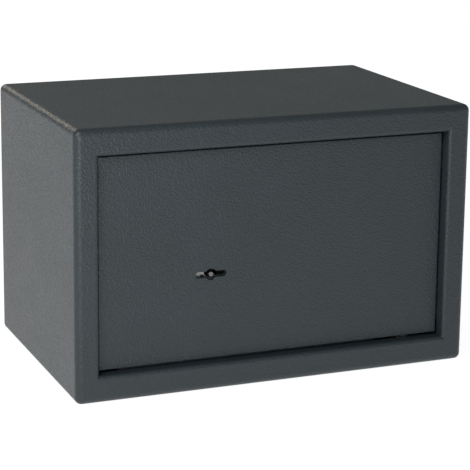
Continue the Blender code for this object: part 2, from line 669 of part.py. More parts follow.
def lock_bolt():
    """The flat bolt inside the lock: talon window, guide slot, stump hole and tail."""
    tail_end, tail_half = CARRIAGE_X - 0.0012, 0.006
    left, right = KEY_X - 0.0145, KEY_X + 0.022
    low, high = KEY_Z - 0.0098, KEY_Z + 0.0265
    outline = [
        (tail_end, KEY_Z - tail_half), (left, KEY_Z - tail_half), (left, low), (right, low),
        (right, high), (left, high), (left, KEY_Z + tail_half), (tail_end, KEY_Z + tail_half),
    ]
    bolt = plate("lock_bolt", outline, LOCK_BOLT_FRONT, LOCK_BOLT_BACK - LOCK_BOLT_FRONT, "zinc_plate")
    front, back = LOCK_BOLT_FRONT - 0.001, LOCK_BOLT_BACK + 0.001
    half_slot = SPINDLE_RADIUS + 0.0004
    boolean(bolt, block("cut_spindle_slot", (KEY_X - half_slot, front, KEY_Z - half_slot),
                        (KEY_X + BOLT_THROW + half_slot, back, KEY_Z + half_slot)))
    talon_x, talon_half = KEY_X + DRIVE_RADIUS, 0.0040
    boolean(bolt, block("cut_talon", (talon_x - talon_half, front, low - 0.002),
                        (talon_x + talon_half, back, KEY_Z + half_slot)))
    x, z = GUIDE_POST
    around_post = POST_RADIUS + TOUCH
    boolean(bolt, block("cut_guide_slot", (x - around_post, front, z - around_post),
                        (x + BOLT_THROW + around_post, back, z + around_post)))
    return boolean(bolt, rod_y("cut_stump_hole", STUMP_SHANK + RUNNING_FIT, *STUMP, front, back, sides=16))


def bolt_stump():
    """The square stump that passes the levers' gates, riveted in the lock's bolt."""
    x, z = STUMP
    half = 0.0019
    stump = block("bolt_stump", (x - half, LEVER_START + 0.0001, z - half),
                  (x + half, LOCK_BOLT_FRONT - TOUCH, z + half), "bright_steel")
    shank = rod_y("shank_of_stump", STUMP_SHANK, x, z, LOCK_BOLT_FRONT - 0.002, LOCK_BOLT_BACK - 0.0002,
                  sides=16)
    return boolean(stump, shank, "UNION")


BOLT_SCREW_RADIUS = 0.0024


def bolt_carriage():
    """The upright strip that ties the lock's bolt to the two round bolts."""
    past_bolts = 0.012
    low = KEY_Z - BOLT_SPACING / 2 - past_bolts
    high = KEY_Z + BOLT_SPACING / 2 + past_bolts
    mortise = 0.0062
    carriage = block("bolt_carriage", (CARRIAGE_X, BEHIND_DOOR + 0.0027, low),
                     (CARRIAGE_X + CARRIAGE_THICK, BOLT_Y + 0.0105, high), "zinc_plate")
    bevel(carriage, 0.0006, 1)
    boolean(carriage, block("cut_tail_mortise",
                            (CARRIAGE_X - PAST, LOCK_BOLT_FRONT - RUNNING_FIT, KEY_Z - mortise),
                            (CARRIAGE_X + PAST, LOCK_BOLT_BACK + RUNNING_FIT, KEY_Z + mortise)))
    for name, z in bolt_places():
        boolean(carriage, rod(f"cut_carriage_{name}", BOLT_SCREW_RADIUS + 0.0005,
                              (CARRIAGE_X - PAST, BOLT_Y, z), (CARRIAGE_X + PAST, BOLT_Y, z), sides=20))
    return carriage


def round_bolts():
    """Two round bolts with a chamfered nose, each held to the carriage by a hexagon screw."""
    head_radius, head_thick = 0.0048, 0.0036
    head_x = CARRIAGE_X + CARRIAGE_THICK + TOUCH
    screw_end = CARRIAGE_X - 0.0125
    pieces = []
    for name, z in bolt_places():
        bolt = rod(f"bolt_{name}", BOLT_RADIUS, (BOLT_END, BOLT_Y, z), (BOLT_END + BOLT_LENGTH, BOLT_Y, z),
                   "bright_steel", sides=32)
        bevel(bolt, 0.0010, 2)
        boolean(bolt, rod(f"cut_tap_{name}", BOLT_SCREW_RADIUS + TOUCH, (screw_end - 0.0015, BOLT_Y, z),
                          (CARRIAGE_X + PAST, BOLT_Y, z), sides=20))
        head = rod(f"bolt_screw_{name}", head_radius, (head_x, BOLT_Y, z), (head_x + head_thick, BOLT_Y, z),
                   "zinc_plate", sides=6)
        shank = rod(f"shank_of_{name}", BOLT_SCREW_RADIUS, (screw_end, BOLT_Y, z),
                    (head_x + 0.001, BOLT_Y, z), sides=16)
        boolean(head, shank, "UNION")
        pieces += [bolt, head]
    return pieces


# ---- Build ------------------------------------------------------------------------------------
clear_scene()
PARTS = new_collection("key_safe")
CUTTERS = new_collection("cutters")

body_shell()
front_frame()
back_panel()
strike_bar()
door_stops()
hinge_bearings()
hinge_washer()
floor_mat()

door_axis = axis_empty("door_axis", (HINGE_X, HINGE_Y, HEIGHT / 2))
carry(door_axis, [door_plate(), hinge_bar(), *hinge_pins(), hinge_side_rail(), bolt_guide(), lock_case(),
                  lock_cover(), *posts_and_screws(), lever_spring(), *studs_and_nuts()])

bolt_axis = axis_empty("bolt_axis", (CARRIAGE_X, BOLT_Y, KEY_Z))
carry(bolt_axis, [lock_bolt(), bolt_stump(), bolt_carriage(), *round_bolts()])

key_axis = axis_empty("key_axis", (KEY_X, DOOR_BACK, KEY_Z))
carry(key_axis, [key_barrel(), drive_cam(), barrel_clip()])

lever_axis = axis_empty("lever_axis", (LEVER_PIVOT[0], LEVER_START, LEVER_PIVOT[1]))
carry(lever_axis, levers())
carry(door_axis, [bolt_axis, key_axis, lever_axis])
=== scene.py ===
# %% [markdown]
# # A small key safe, finished
#
# The packed model already holds every piece of this safe at its real size: the folded body, the door,
# the lever lock and the bolts. What it lacks is a surface. This lesson gives each piece one. Flat sheet
# gets its true bends, turned steel gets its chamfers and tool marks, and every finish (powder coat,
# zinc, brass, felt) is built from shader nodes. All positions come from the frame, so nothing is fitted
# by hand afterwards.

# %% Load the frame
import json
import math

import bmesh
import bpy
import numpy as np
from mathutils import Matrix, Vector


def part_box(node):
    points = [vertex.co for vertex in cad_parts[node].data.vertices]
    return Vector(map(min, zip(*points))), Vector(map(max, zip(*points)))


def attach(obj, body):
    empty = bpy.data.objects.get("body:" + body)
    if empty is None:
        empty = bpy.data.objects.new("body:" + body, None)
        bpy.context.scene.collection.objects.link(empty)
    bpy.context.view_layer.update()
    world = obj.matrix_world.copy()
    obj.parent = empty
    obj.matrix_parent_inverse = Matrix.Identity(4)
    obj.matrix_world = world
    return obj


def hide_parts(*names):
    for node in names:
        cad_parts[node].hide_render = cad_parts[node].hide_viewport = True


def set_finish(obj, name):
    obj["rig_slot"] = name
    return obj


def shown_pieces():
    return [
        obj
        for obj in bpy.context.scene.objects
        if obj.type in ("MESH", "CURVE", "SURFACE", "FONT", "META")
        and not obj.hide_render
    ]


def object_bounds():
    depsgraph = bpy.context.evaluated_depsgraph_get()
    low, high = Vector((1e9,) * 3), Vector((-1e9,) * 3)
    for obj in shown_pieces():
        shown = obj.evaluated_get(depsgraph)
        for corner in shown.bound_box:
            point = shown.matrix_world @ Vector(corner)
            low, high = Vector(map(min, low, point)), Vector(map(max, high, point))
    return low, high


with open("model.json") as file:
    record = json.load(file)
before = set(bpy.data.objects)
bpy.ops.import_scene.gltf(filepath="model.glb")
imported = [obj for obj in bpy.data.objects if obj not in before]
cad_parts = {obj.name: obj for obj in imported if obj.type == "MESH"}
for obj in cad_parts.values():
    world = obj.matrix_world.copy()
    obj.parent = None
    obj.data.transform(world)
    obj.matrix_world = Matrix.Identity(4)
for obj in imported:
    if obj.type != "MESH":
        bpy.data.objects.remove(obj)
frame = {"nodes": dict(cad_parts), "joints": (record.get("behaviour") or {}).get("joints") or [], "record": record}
cad_low, cad_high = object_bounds()
NODES = frame["nodes"]
RECORD = frame["record"]
BODY_OF = {node: body for body, members in RECORD["behaviour"]["bodies"].items() for node in members}
SLOT_OF = {part["node"]: part["material_slot"] for part in RECORD["subparts"]}
MM = 0.001

# %% [markdown]
# ## The camera first
#
# A camera is placed by where it stands and by what it looks at. Here it stands to the left of the safe
# and a little above it, more than four times the safe's width away, so a long lens fills the picture and
# the edges hardly converge. The lens is shifted down a little, so that the camera itself tips down less
# and upright edges stay nearer to upright.

# %% Place the camera
CAMERA_AZIMUTH = math.radians(-22.26)
CAMERA_ELEVATION = math.radians(12.77)
CAMERA_ROLL = math.radians(0.68)
CAMERA_DISTANCE = 1.4095
AIM_RIGHT, AIM_UP = 0.0053, 0.0323      # the point aimed at, from the safe's middle
LENS_MM = 138.6
SHIFT_Y = -0.12                         # in widths of the picture
CLIP_END = 50                           # past the far edge of the floor


def place_camera():
    """The camera turns round Z by the azimuth, tips by the elevation, rolls, then backs off."""
    turn = (Matrix.Rotation(CAMERA_AZIMUTH, 3, "Z") @ Matrix.Rotation(math.pi / 2 - CAMERA_ELEVATION, 3, "X")
            @ Matrix.Rotation(CAMERA_ROLL, 3, "Z"))
    aim = (cad_low + cad_high) / 2 + turn @ Vector((AIM_RIGHT, AIM_UP, 0))
    data = bpy.data.cameras.new("camera")
    data.lens = LENS_MM
    data.shift_y = SHIFT_Y
    data.clip_end = CLIP_END
    camera = bpy.data.objects.new("camera", data)
    camera.matrix_world = Matrix.Translation(aim + turn @ Vector((0, 0, CAMERA_DISTANCE))) @ turn.to_4x4()
    bpy.context.scene.collection.objects.link(camera)
    bpy.context.scene.camera = camera
    return camera


camera = place_camera()
print("camera at", [round(v, 3) for v in camera.location])

# %% [markdown]
# ## Surfaces from numbers
#
# Every new piece below is a grid of points: rows along one parameter, columns along the other. Numpy
# works out the whole grid at once, and one helper turns it into a mesh. A grid can close on itself
# round its columns, round its rows, or both, as a tube or a ring does. The helper also measures the
# signed volume, the sum of the small pyramids between each face and the grid's middle: if it is negative
# the faces point inwards, so their order is turned round.

# %% A grid becomes a mesh
SHARP = math.radians(38)         # faces that meet at more than this are shaded as a sharp edge


def grid_quads(rows, columns, close_rows, close_columns):
    """Corner numbers of each quad: point (i, j) is number i * columns + j, and closed sides wrap."""
    i = np.arange(rows if close_rows else rows - 1)[:, None]
    j = np.arange(columns if close_columns else columns - 1)[None, :]
    below, right = (i + 1) % rows, (j + 1) % columns
    corners = [i * columns + j, i * columns + right, below * columns + right, below * columns + j]
    return np.stack([c.ravel() for c in np.broadcast_arrays(*corners)], axis=1)


def signed_volume(points, quads):
    """One sixth of the sum of a . (b x c) over the two triangles of each quad."""
    a, b, c, d = (points[quads[:, k]] for k in range(4))
    volume = np.einsum("ij,ij->i", a, np.cross(b, c)) + np.einsum("ij,ij->i", a, np.cross(c, d))
    return volume.sum() / 6


def link_mesh(name, points, faces):
    """Puts points and faces of any size into a new object at the origin, shaded smooth."""
    mesh = bpy.data.meshes.new(name)
    mesh.from_pydata(points.tolist(), [], [list(face) for face in faces])
    mesh.validate()
    mesh.shade_smooth()
    mesh.set_sharp_from_angle(angle=SHARP)
    piece = bpy.data.objects.new(name, mesh)
    bpy.context.scene.collection.objects.link(piece)
    return piece


def surface(name, grid, close_rows=False, close_columns=False, caps=False):
    """A grid of shape (rows, columns, 3) as an object; caps closes its first and last rows."""
    rows, columns, _ = grid.shape
    points = grid.reshape(-1, 3)
    quads = grid_quads(rows, columns, close_rows, close_columns)
    inside_out = signed_volume(points - points.mean(axis=0), quads) < 0
    faces = [tuple(q) for q in (quads[:, ::-1] if inside_out else quads).tolist()]
    if caps:
        first = list(range(columns))
        last = [(rows - 1) * columns + k for k in range(columns)]
        faces += [first, last[::-1]] if inside_out else [first[::-1], last]
    return link_mesh(name, points, faces)


print("a tube of 3 rings and 4 columns has", len(grid_quads(3, 4, False, True)), "faces")

# %% [markdown]
# ## Outlines with true arcs
#
# Sheet bends, broken edges and soft rims are all small arcs at the corners of an outline. A bevel could
# round the finished mesh, but an arc worked out beforehand has exactly the radius asked for, also where a
# sheet's inner and outer bends must stay parallel.

# %% Round an outline's corners
GUARD = 0.35 * MM                # how far from an arc the outline's flat side gets its first point


def rounded_outline(corners, steps=8, guard=GUARD):
    """A closed outline of (x, y, radius) corners as points, with an arc at each corner.

    An arc begins r * tan(turn / 2) before its corner, where turn is the change of direction there. Its
    points are the centre plus r times a blend of the two end directions, weighted by the sines of the
    angles still to go and already gone. One guard point on each side of an arc keeps flats flat.
    """
    places = np.array([corner[:2] for corner in corners], float)
    out = []
    for k, (_, _, radius) in enumerate(corners):
        back = places[k - 1] - places[k]
        ahead = places[(k + 1) % len(corners)] - places[k]
        back, ahead = back / np.linalg.norm(back), ahead / np.linalg.norm(ahead)
        turn = math.pi - math.acos(np.clip(back @ ahead, -1, 1))
        run = radius * math.tan(turn / 2)
        middle = (back + ahead) / np.linalg.norm(back + ahead)
        centre = places[k] + middle * radius / math.cos(turn / 2)
        first = (places[k] + back * run - centre) / radius
        last = (places[k] + ahead * run - centre) / radius
        gone = np.linspace(0, 1, steps + 1)[:, None] * turn
        arc = centre + radius * (first * np.sin(turn - gone) + last * np.sin(gone)) / math.sin(turn)
        out += [places[k] + back * (run + guard), *arc, places[k] + ahead * (run + guard)]
    return np.array(out)


print("a rounded square has", len(rounded_outline([(0, 0, 1), (9, 0, 1), (9, 9, 1), (0, 9, 1)])), "points")

# %% [markdown]
# ## The folded body
#
# The real body is folded sheet: four walls with a narrow flange at the rear, and a pressed front frame
# that turns inwards at the doorway. The frame is welded to the walls just behind its bend, and the joint
# is ground flush and painted over, so no seam shows. Cut through any side and the section is nearly the
# same hooked outline, so the body is that outline carried round a rounded rectangle, like a picture
# frame's moulding round its corners. The bends then come out as true arcs, and where two bends meet they
# make a piece of a sphere.

# %% Carry the sheet's section round the body
FRONT, BACK = cad_low.y, cad_high.y
SHEET = 2 * MM
BEND = 5 * MM
LIP_BEND = 3.0 * MM
FLANGE = 14 * MM                 # the rear flange's height, from the outside of the wall
FRAME_SIDE, FRAME_TOP = 17.5 * MM, 20 * MM
LIP_END = FRONT + 11 * MM
EDGE = 0.25 * MM                 # a cut sheet edge, barely broken by the paint


def rectangle_loop(steps=8, guard=0.0035):
    """A rounded rectangle as four columns: the corner centre's signs, then the arc's direction.

    The sign pair stands still while the direction turns through a corner, and slides from one corner to
    the next while the direction stands still. A guard column beside each arc keeps the walls flat.
    """
    columns = []
    for quarter, (sx, sz) in enumerate([(1, 1), (-1, 1), (-1, -1), (1, -1)]):
        angle = np.radians(90 * quarter + np.linspace(0, 90, steps + 1))
        arc = np.stack([np.full_like(angle, sx), np.full_like(angle, sz), np.cos(angle), np.sin(angle)], 1)
        into, out = arc[0].copy(), arc[-1].copy()
        into[1 - quarter % 2] *= 1 - guard
        out[quarter % 2] *= 1 - guard
        columns += [into, *arc, out]
    return np.array(columns)


def carried_round(section, low, high, corner, extra_z=0.0):
    """Point = middle + sign * (half size - inset - radius) + radius * direction, for x and for z.

    The inset and the depth y come from the section, whose rows are (inset, y). The corner radius shrinks
    as the inset grows, so the outside and the inside of a sheet stay parallel round every corner.
    """
    inset = section[:, 0, None]
    radius = np.maximum(corner - inset, EDGE)
    sx, sz, cx, cz = rectangle_loop().T
    middle, half = (low + high) / 2, (high - low) / 2
    x = middle.x + sx * (half.x - inset - radius) + radius * cx
    z = middle.z + sz * (half.z - inset - extra_z - radius) + radius * cz
    y = np.broadcast_to(section[:, 1, None], x.shape)
    return np.stack([x, y, z], axis=2)


def folded_body():
    """The sheet's hooked section; the rows at the doorway's lip stand further in at top and bottom."""
    section = rounded_outline([
        (FRAME_SIDE, LIP_END, EDGE), (FRAME_SIDE, FRONT, LIP_BEND), (0, FRONT, BEND), (0, BACK, BEND),
        (FLANGE, BACK, EDGE), (FLANGE, BACK - SHEET, EDGE), (SHEET, BACK - SHEET, BEND - SHEET),
        (SHEET, FRONT + SHEET, BEND - SHEET), (FRAME_SIDE - SHEET, FRONT + SHEET, LIP_BEND - SHEET),
        (FRAME_SIDE - SHEET, LIP_END, EDGE)])
    at_lip = (section[:, 0] > FRAME_SIDE - SHEET - LIP_BEND) & (section[:, 1] < 0)
    extra_z = np.where(at_lip, FRAME_TOP - FRAME_SIDE, 0)[:, None]
    return carried_round(section, cad_low, cad_high, BEND, extra_z)


print("the section has", len(folded_body()), "points and the loop", len(rectangle_loop()), "columns")

# %% [markdown]
# ## Cutting, drilling and standing in
#
# The base has two holes for floor bolts. A hole doesn't fit into the body's grid, so it is cut as on a
# bench: a bit with the hole's shape is taken out of the piece with a Boolean, and the bit is thrown away.
# Each finished piece then stands for its packed node, which stays hidden for the physics, and rides on
# that node's body.

# %% Cut the base's holes and put the body in place
ANCHOR_X, ANCHOR_RADIUS = 85 * MM, 6 * MM


def cut(piece, bit):
    """Takes the bit's shape out of a piece with a Boolean, and keeps the result as the piece's mesh."""
    hole = piece.modifiers.new("hole", "BOOLEAN")
    hole.object = bit
    cut_mesh = bpy.data.meshes.new_from_object(piece.evaluated_get(bpy.context.evaluated_depsgraph_get()))
    piece.modifiers.clear()
    piece.data = cut_mesh
    cut_mesh.set_sharp_from_angle(angle=SHARP)
    bpy.data.objects.remove(bit)


def drill(piece, centre, axis, radius, length, columns=48):
    """Cuts a round hole through a piece: the bit is a ring of points at each end of its length."""
    turn = Vector((0, 0, 1)).rotation_difference(Vector(axis)).to_matrix()
    angle = np.linspace(0, 2 * math.pi, columns, endpoint=False)
    ring = np.stack([radius * np.cos(angle), radius * np.sin(angle), np.zeros(columns)], 1)
    ends = np.stack([ring + (0, 0, h) for h in (-length / 2, length / 2)])
    cut(piece, surface("bit", ends @ np.array(turn).T + np.array(centre), close_columns=True, caps=True))


def prism(outline, low, high):
    """An outline in x and z, carried straight along y from low to high, as a bit for cutting."""
    ends = [[(x, y, z) for x, z in outline] for y in (low, high)]
    return surface("bit", np.array(ends), close_columns=True, caps=True)


def box_bit(low, high):
    """A box between two corners, as a bit."""
    outline = [(low[0], low[2]), (high[0], low[2]), (high[0], high[2]), (low[0], high[2])]
    return prism(outline, low[1], high[1])


def stand_for(piece, *nodes):
    """The piece takes the place of packed nodes: it rides on their body and keeps their finish's slot."""
    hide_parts(*nodes)
    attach(piece, BODY_OF[nodes[0]])
    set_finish(piece, SLOT_OF[nodes[0]])
    return piece


body_skin = surface("body_skin", folded_body(), close_rows=True, close_columns=True)
for side in (-1, 1):
    drill(body_skin, (side * ANCHOR_X, 0, 0), (0, 0, 1), ANCHOR_RADIUS, length=12 * MM)
stand_for(body_skin, "body_shell", "front_frame")
print("body_skin:", len(body_skin.data.polygons), "faces")

# %% [markdown]
# ## The door
#
# The door is a flat plate with one opening, the keyhole: a round middle with a round-ended arm to each
# side. Seen from the keyhole's centre, every direction meets the keyhole's edge once and the plate's edge
# once. That makes the plate a polar grid: one column for each direction, and rows that run out over the
# front, round the edge, back over the rear and down through the keyhole, closing on the first.

# %% Make the door from polar rays
door_low, door_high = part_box("door_plate")
KEY_X, _, KEY_Z = next(joint["pos_m"] for joint in frame["joints"] if joint["name"] == "key_turn")
ARM, ARM_HALF = 12 * MM, 2.2 * MM          # an arm's length from the centre, and half its width
KEY_ROUND = 4.3 * MM                       # radius of the round middle
DOOR_EDGE = 0.8 * MM
RIM = 0.45 * MM                            # the keyhole's edge, rounded by punching and paint
MARGIN = 5 * MM                            # in the section, how far the keyhole's edge is from the door's
TINY = 1e-9                                # keeps a ray along an axis from dividing by zero


def keyhole_radius(angle, grow):
    """Distance to the keyhole's edge along each direction, with the keyhole grown by a margin.

    An arm is a strip with a half disc on its end: the ray leaves it through its side at half / |sin|,
    or, beyond the disc's centre, at centre * |cos| + root(half^2 - (centre * sin)^2). The edge is the
    larger of that and the round middle's radius.
    """
    cos, sin = np.abs(np.cos(angle)), np.maximum(np.abs(np.sin(angle)), TINY)
    half, centre = ARM_HALF + grow, ARM - ARM_HALF
    side = half / sin
    end = centre * cos + np.sqrt(np.maximum(half**2 - (centre * sin) ** 2, 0))
    return np.maximum(np.where(side * cos <= centre, side, end), KEY_ROUND + grow)


def plate_edge(angle):
    """The point where each ray from the keyhole's centre meets the plate's rectangle."""
    cos, sin = np.cos(angle), np.sin(angle)
    reach_x = np.where(cos > 0, door_high.x - KEY_X, KEY_X - door_low.x) / np.maximum(np.abs(cos), TINY)
    reach_z = np.where(sin > 0, door_high.z - KEY_Z, KEY_Z - door_low.z) / np.maximum(np.abs(sin), TINY)
    reach = np.minimum(reach_x, reach_z)
    return np.stack([KEY_X + reach * cos, KEY_Z + reach * sin], 1)


def door_surface(directions=400):
    """Rows of (x, y, z): the plate's edge drawn in by an inset, then the keyhole grown by a margin."""
    corners = [math.atan2(z - KEY_Z, x - KEY_X)
               for x in (door_low.x, door_high.x) for z in (door_low.z, door_high.z)]
    angle = np.sort(np.concatenate([np.linspace(-math.pi, math.pi, directions, endpoint=False), corners]))
    edge = plate_edge(angle)
    rows = []
    round_edge = rounded_outline([(0, door_low.y, DOOR_EDGE), (0, door_high.y, DOOR_EDGE),
                                  (MARGIN, door_high.y, RIM), (MARGIN, door_low.y, RIM)], steps=6)
    outer, inner = np.split(round_edge, 2)
    for inset, y in outer:
        lowest = (door_low.x + inset, door_low.z + inset)
        highest = (door_high.x - inset, door_high.z - inset)
        at = np.clip(edge, lowest, highest)
        rows.append(np.stack([at[:, 0], np.full(len(at), y), at[:, 1]], 1))
    for inset, y in inner:
        radius = keyhole_radius(angle, MARGIN - inset)
        rows.append(np.stack([KEY_X + radius * np.cos(angle), np.full(len(radius), y),
                              KEY_Z + radius * np.sin(angle)], 1))
    return np.array(rows)


door_skin = surface("door_skin", door_surface(), close_rows=True, close_columns=True)
stand_for(door_skin, "door_plate")
print("door_skin:", len(door_skin.data.polygons), "faces")

# %% [markdown]
# ## Plates with broken edges
#
# A sawn or pressed plate never has a perfect edge: deburring and plating leave it slightly round, and
# that thin round is what catches the light. The packed plates are already the right shape, so each one
# is copied, its loose triangles are merged into whole faces, and a narrow bevel goes along its edges.

# %% Break the plates' edges
EDGE_WIDTHS = {                  # in millimetres
    "back_panel": 0.5, "strike_bar": 0.6, "door_stop_top": 0.5, "door_stop_bottom": 0.5,
    "hinge_bearing_top": 0.4, "hinge_bearing_bottom": 0.4, "hinge_side_rail": 0.6, "bolt_guide": 0.45,
    "lock_cover": 0.3, "bolt_carriage": 0.35, "lock_bolt": 0.3, "key_barrel": 0.12, "drive_cam": 0.2,
    "barrel_clip": 0.1, "lever_spring": 0.05, "bolt_stump": 0.15,
    **{f"lever_{n}": 0.12 for n in range(1, 6)},
}
SAME_POINT = 0.001 * MM          # corners closer than this are one
SAME_PLANE = math.radians(1)     # faces that meet at less than this are one
BROKEN = math.radians(40)        # edges sharper than this get a bevel


def broken_edges(node, width):
    """A merged copy of a packed node, whose sharp edges get a bevel of the given width.

    Normals weighted by area keep the large flats flat, so that only the bevels look round.
    """
    mesh = NODES[node].data.copy()
    shape = bmesh.new()
    shape.from_mesh(mesh)
    bmesh.ops.remove_doubles(shape, verts=shape.verts, dist=SAME_POINT)
    bmesh.ops.dissolve_limit(shape, angle_limit=SAME_PLANE, verts=shape.verts, edges=shape.edges)
    shape.to_mesh(mesh)
    shape.free()
    mesh.shade_smooth()
    piece = bpy.data.objects.new(node + "_piece", mesh)
    bpy.context.scene.collection.objects.link(piece)
    bevel = piece.modifiers.new("edges", "BEVEL")
    bevel.width = width
    bevel.segments = 2
    bevel.angle_limit = BROKEN
    flats = piece.modifiers.new("flats", "WEIGHTED_NORMAL")
    flats.weight = 100
    return stand_for(piece, node)


plates = {node: broken_edges(node, width * MM) for node, width in EDGE_WIDTHS.items()}
print(len(plates), "plates have broken edges")

# %% [markdown]
# ## Turned pieces
#
# Bolts, studs, posts and hinge pins are made on a lathe: a profile goes round an axis. Here the profile
# is a list of (radius, distance along the axis), and the other two coordinates are the radius times the
# cosine and the sine of the angle. A second function may carve the radius, which makes a hexagon or a
# screw thread from the same round stock, just as a mill or a die does.

# %% Build the lathe
AROUND = {"x": (0, 1, 2), "y": (1, 2, 0), "z": (2, 0, 1)}      # the axis, then the two across it


def turned(name, axis, centre, profile, carve=None, columns=64, ring=False):
    """Rows follow the profile and columns go round; a ring's profile closes, a rod's ends get caps."""
    along_axis, first, second = AROUND[axis]
    profile = np.array(profile, float)
    angle = np.linspace(0, 2 * math.pi, columns, endpoint=False)
    along = profile[:, 1, None]
    radius = np.repeat(profile[:, 0, None], columns, axis=1)
    if carve:
        radius = carve(radius, along, angle)
    grid = np.empty((*radius.shape, 3))
    grid[..., along_axis] = along
    grid[..., first] = centre[first] + radius * np.cos(angle)
    grid[..., second] = centre[second] + radius * np.sin(angle)
    return surface(name, grid, close_rows=ring, close_columns=True, caps=not ring)


def rod_profile(radius, low, high, edge, steps=4, guard=0.1 * MM):
    """A straight side with a rounded edge at each end: a quarter circle in the given number of steps.

    One step makes a chamfer. The guard point inside each end keeps the flat end flat.
    """
    turn = np.linspace(0, math.pi / 2, steps + 1)
    start = np.stack([radius - edge + edge * np.sin(turn), low + edge - edge * np.cos(turn)], 1)
    end = np.stack([radius - edge + edge * np.cos(turn), high - edge + edge * np.sin(turn)], 1)
    inside = radius - edge - guard
    return np.concatenate([[(inside, low)], start, end, [(inside, high)]])


def hexagon(across):
    """Cuts round stock to six flats: at most half the width / cos(angle from the flat's middle)."""
    def carve(radius, _, angle):
        from_middle = (angle + math.pi / 6) % (math.pi / 3) - math.pi / 6
        return np.minimum(radius, across / 2 / np.cos(from_middle))
    return carve


def thread(pitch, depth, start, stop):
    """Lowers the radius by depth times a triangle wave of (along / pitch - angle / full turn).

    The wave fades in and out over one pitch at start and stop.
    """
    def carve(radius, along, angle):
        phase = (along / pitch - angle / (2 * math.pi)) % 1
        wave = np.abs(2 * phase - 1)
        fade = np.clip((along - start) / pitch, 0, 1) * np.clip((stop - along) / pitch, 0, 1)
        return radius - depth * wave * fade
    return carve


def middle_of(node):
    """The middle of a packed node's box."""
    low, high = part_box(node)
    return (low + high) / 2


print("a rod's profile:", len(rod_profile(8 * MM, 0, 40 * MM, 1 * MM)), "points")

# %% [markdown]
# ## Bolts, pins, posts and the washer
#
# The two round bolts are 16 mm bar with a chamfered nose, so that they find their way behind the frame.
# Each is tapped at the back for the screw that holds it to the carriage. The hinge is two short pins,
# one pressed into each end of a round bar, which turn in drilled plates above and below the doorway.

# %% Turn the bolts
BOLT_CHAMFER = 1 * MM
TAPPED, TAPPED_DEPTH, TAPPED_SINK = 2.7 * MM, 14 * MM, 0.3 * MM     # radius, depth and countersink
for name in ("upper", "lower"):
    low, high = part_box(f"bolt_{name}")
    outside = rod_profile((high.z - low.z) / 2, low.x, high.x, BOLT_CHAMFER, steps=1)
    tapped = [(TAPPED + TAPPED_SINK, high.x), (TAPPED, high.x - TAPPED_SINK), (TAPPED, high.x - TAPPED_DEPTH)]
    profile = np.concatenate([outside[:-1], tapped])
    stand_for(turned(f"round_bolt_{name}", "x", middle_of(f"bolt_{name}"), profile), f"bolt_{name}")
print("bolts:", round((high.z - low.z) / MM, 1), "mm across,", round((high.x - low.x) / MM, 1), "mm long")

# %% Turn the hinge
PIN_EDGE, BAR_EDGE = 0.5 * MM, 0.4 * MM
PIN_SEAT, PIN_SEAT_RADIUS = 16 * MM, 3.02 * MM
for node in ("hinge_pin_bottom", "hinge_pin_top"):
    low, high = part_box(node)
    profile = rod_profile((high.x - low.x) / 2, low.z, high.z, PIN_EDGE, steps=3)
    stand_for(turned(node + "_turned", "z", middle_of(node), profile, columns=48), node)

low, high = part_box("hinge_bar")
profile = np.concatenate([
    [(PIN_SEAT_RADIUS, low.z + PIN_SEAT), (PIN_SEAT_RADIUS, low.z)],
    rod_profile((high.x - low.x) / 2, low.z, high.z, BAR_EDGE, steps=3)[1:-1],
    [(PIN_SEAT_RADIUS, high.z), (PIN_SEAT_RADIUS, high.z - PIN_SEAT)]])
hinge_bar = stand_for(turned("hinge_bar_turned", "z", middle_of("hinge_bar"), profile), "hinge_bar")
print("bar:", len(hinge_bar.data.polygons), "faces")

# %% Turn the washer and the lock's two posts
WASHER_BORE, WASHER_EDGE = 3.1 * MM, 0.2 * MM
POST_EDGE = 0.2 * MM
low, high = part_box("hinge_washer")
outer = (high.x - low.x) / 2
ring = rounded_outline([(WASHER_BORE, low.z, WASHER_EDGE), (outer, low.z, WASHER_EDGE),
                        (outer, high.z, WASHER_EDGE), (WASHER_BORE, high.z, WASHER_EDGE)],
                       steps=4, guard=0.05 * MM)
washer = stand_for(turned("washer_ring", "z", middle_of("hinge_washer"), ring, ring=True), "hinge_washer")

for node in ("lever_post", "bolt_guide_post"):
    low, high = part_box(node)
    profile = rod_profile((high.x - low.x) / 2, low.y, high.y, POST_EDGE, steps=2)
    stand_for(turned(node + "_turned", "y", middle_of(node), profile, columns=48), node)
print("washer:", len(washer.data.polygons), "faces")

# %% [markdown]
# ## Studs, nuts and screws
#
# The lock is held by four studs, welded to the door's back, and a hexagon nut on each. A real nut's
# corners are cut by a cone, which leaves a curved line across every flat. Taking the smaller of a cone
# and a hexagon gives exactly that line. The studs carry a real thread where they stick out.

# %% Shape a nut
STUD_RADIUS = 2.3 * MM
CHAMFER = 0.4 * MM               # on stud and screw ends, and in the mouth of a nut
CONE = math.tan(math.radians(30))
CONE_START = 0.97                # of the flats' circle, so that the cone's foot is a full circle


def coned(corner, flat, low, high, steps=6):
    """A profile that widens from just inside the flats to the corners over a 30 degree cone, and back."""
    radius = np.linspace(CONE_START * flat, corner, steps)
    rise = (radius - radius[0]) * CONE
    return [*zip(radius, low + rise), *zip(radius[::-1], high - rise[::-1])]


def hexagon_nut(node):
    """A closed profile: the bore with its countersinks, then the coned outside, carved to six flats."""
    low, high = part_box(node)
    corner = max(high.x - low.x, high.z - low.z) / 2
    flat = corner * math.cos(math.pi / 6)
    bore, sink = STUD_RADIUS + 0.1 * MM, CHAMFER
    profile = [(bore, high.y - sink), (bore, low.y + sink), (bore + sink, low.y),
               *coned(corner, flat, low.y, high.y), (bore + sink, high.y)]
    return turned(node + "_hexagon", "y", middle_of(node), profile, hexagon(2 * flat), columns=96, ring=True)


print("a cone is", len(coned(4 * MM, 3.5 * MM, 0, 3 * MM)), "rows")

